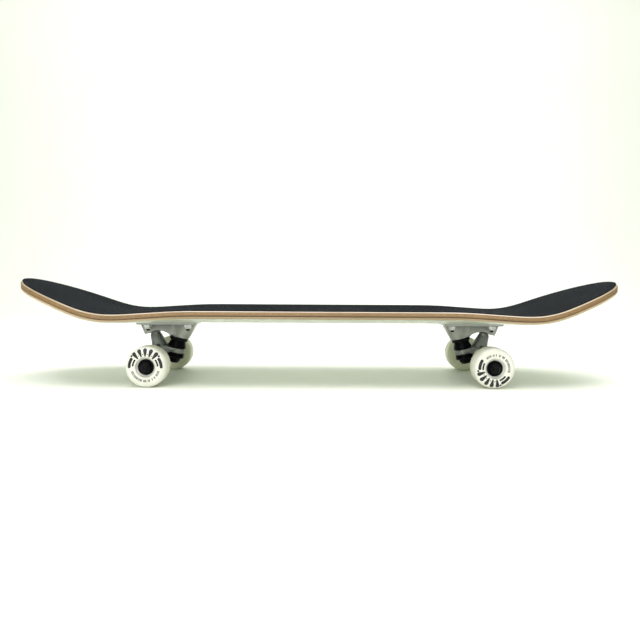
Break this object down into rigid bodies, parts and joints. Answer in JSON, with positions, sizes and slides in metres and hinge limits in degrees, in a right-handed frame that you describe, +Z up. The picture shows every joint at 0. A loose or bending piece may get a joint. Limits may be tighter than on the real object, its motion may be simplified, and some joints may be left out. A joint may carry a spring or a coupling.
{
  "type": "skateboard",
  "caption": "Street skateboard: pressed maple deck with black grip tape and upturned nose and tail, cast trucks that steer when the deck leans, and free-running wheels.",
  "frame": {"origin": "on the ground, midway between the two axles and midway across the board", "axes": "+X along the board towards the nose, +Y to the rider's left, +Z up"},
  "size_m": [0.8128, 0.2032, 0.1365],
  "materials": {
    "grip_tape": "rough grit",
    "maple_light": "sanded",
    "maple_tan": "sanded",
    "maple_dark": "sanded",
    "painted_bottom": "satin paint",
    "cast_aluminium": "as cast, satin",
    "hanger_aluminium": "as cast, satin",
    "zinc_steel": "bright zinc",
    "black_steel": "black oxide",
    "bearing_steel": "polished",
    "black_urethane": "satin",
    "black_rubber": "satin",
    "cage_nylon": "matt",
    "cream_urethane": "satin"
  },
  "bodies": {
    "deck": {"grip_tape": "grip_tape", "ply_1_top_veneer": "maple_light", "ply_2_long_grain": "maple_tan", "ply_3_cross_grain": "maple_tan", "ply_4_core_long_grain": "maple_dark", "ply_5_cross_grain": "maple_tan", "ply_6_long_grain": "maple_light", "ply_7_bottom_veneer": "painted_bottom", "nose_mounting_bolts": "black_steel", "nose_mounting_nuts": "zinc_steel", "nose_baseplate": "cast_aluminium", "nose_pivot_cup": "black_urethane", "nose_kingpin": "zinc_steel", "nose_kingpin_nut": "black_steel", "nose_top_washer": "black_steel", "nose_top_bushing": "black_urethane", "nose_bottom_bushing": "black_urethane", "nose_bottom_washer": "black_steel", "tail_mounting_bolts": "black_steel", "tail_mounting_nuts": "zinc_steel", "tail_baseplate": "cast_aluminium", "tail_pivot_cup": "black_urethane", "tail_kingpin": "zinc_steel", "tail_kingpin_nut": "black_steel", "tail_top_washer": "black_steel", "tail_top_bushing": "black_urethane", "tail_bottom_bushing": "black_urethane", "tail_bottom_washer": "black_steel"},
    "nose_hanger_set": {"nose_hanger": "hanger_aluminium", "nose_axle": "black_steel", "nose_axle_nuts": "black_steel", "nose_speed_washers": "zinc_steel", "nose_bearing_inner_rings": "bearing_steel", "nose_bearing_spacers": "zinc_steel"},
    "tail_hanger_set": {"tail_hanger": "hanger_aluminium", "tail_axle": "black_steel", "tail_axle_nuts": "black_steel", "tail_speed_washers": "zinc_steel", "tail_bearing_inner_rings": "bearing_steel", "tail_bearing_spacers": "zinc_steel"},
    "nose_left_wheel_set": {"nose_left_wheel": "cream_urethane", "nose_left_bearing_outer_rings": "bearing_steel", "nose_left_bearing_seals": "black_rubber"},
    "nose_left_ball_set": {"nose_left_bearing_balls": "bearing_steel", "nose_left_bearing_cages": "cage_nylon"},
    "nose_right_wheel_set": {"nose_right_wheel": "cream_urethane", "nose_right_bearing_outer_rings": "bearing_steel", "nose_right_bearing_seals": "black_rubber"},
    "nose_right_ball_set": {"nose_right_bearing_balls": "bearing_steel", "nose_right_bearing_cages": "cage_nylon"},
    "tail_left_wheel_set": {"tail_left_wheel": "cream_urethane", "tail_left_bearing_outer_rings": "bearing_steel", "tail_left_bearing_seals": "black_rubber"},
    "tail_left_ball_set": {"tail_left_bearing_balls": "bearing_steel", "tail_left_bearing_cages": "cage_nylon"},
    "tail_right_wheel_set": {"tail_right_wheel": "cream_urethane", "tail_right_bearing_outer_rings": "bearing_steel", "tail_right_bearing_seals": "black_rubber"},
    "tail_right_ball_set": {"tail_right_bearing_balls": "bearing_steel", "tail_right_bearing_cages": "cage_nylon"}
  },
  "joints": [
    {"name": "nose_steer", "type": "hinge", "parent": "deck", "child": "nose_hanger_set", "pos_m": [0.20144, 0, 0.03805], "axis": [0.7574, 0, 0.6529], "range_deg": [-12, 12], "stiffness_Nm_per_rad": 18, "deforming": ["nose_top_bushing", "nose_bottom_bushing"]},
    {"name": "tail_steer", "type": "hinge", "parent": "deck", "child": "tail_hanger_set", "pos_m": [-0.20144, 0, 0.03805], "axis": [-0.7574, 0, 0.6529], "range_deg": [-12, 12], "stiffness_Nm_per_rad": 18, "deforming": ["tail_top_bushing", "tail_bottom_bushing"]},
    {"name": "nose_left_wheel_spin", "type": "hinge", "parent": "nose_hanger_set", "child": "nose_left_wheel_set", "pos_m": [0.21996, 0.0795, 0.026], "axis": [0, 1, 0], "continuous": true},
    {"name": "nose_left_ball_orbit", "type": "hinge", "parent": "nose_hanger_set", "child": "nose_left_ball_set", "pos_m": [0.21996, 0.0795, 0.026], "axis": [0, 1, 0], "continuous": true},
    {"name": "nose_right_wheel_spin", "type": "hinge", "parent": "nose_hanger_set", "child": "nose_right_wheel_set", "pos_m": [0.21996, -0.0795, 0.026], "axis": [0, 1, 0], "continuous": true},
    {"name": "nose_right_ball_orbit", "type": "hinge", "parent": "nose_hanger_set", "child": "nose_right_ball_set", "pos_m": [0.21996, -0.0795, 0.026], "axis": [0, 1, 0], "continuous": true},
    {"name": "tail_left_wheel_spin", "type": "hinge", "parent": "tail_hanger_set", "child": "tail_left_wheel_set", "pos_m": [-0.21996, 0.0795, 0.026], "axis": [0, 1, 0], "continuous": true},
    {"name": "tail_left_ball_orbit", "type": "hinge", "parent": "tail_hanger_set", "child": "tail_left_ball_set", "pos_m": [-0.21996, 0.0795, 0.026], "axis": [0, 1, 0], "continuous": true},
    {"name": "tail_right_wheel_spin", "type": "hinge", "parent": "tail_hanger_set", "child": "tail_right_wheel_set", "pos_m": [-0.21996, -0.0795, 0.026], "axis": [0, 1, 0], "continuous": true},
    {"name": "tail_right_ball_orbit", "type": "hinge", "parent": "tail_hanger_set", "child": "tail_right_ball_set", "pos_m": [-0.21996, -0.0795, 0.026], "axis": [0, 1, 0], "continuous": true}
  ],
  "couplings": [
    {"joint": "nose_left_ball_orbit", "follows": "nose_left_wheel_spin", "ratio": 0.6267},
    {"joint": "nose_right_ball_orbit", "follows": "nose_right_wheel_spin", "ratio": 0.6267},
    {"joint": "tail_left_ball_orbit", "follows": "tail_left_wheel_spin", "ratio": 0.6267},
    {"joint": "tail_right_ball_orbit", "follows": "tail_right_wheel_spin", "ratio": 0.6267}
  ]
}
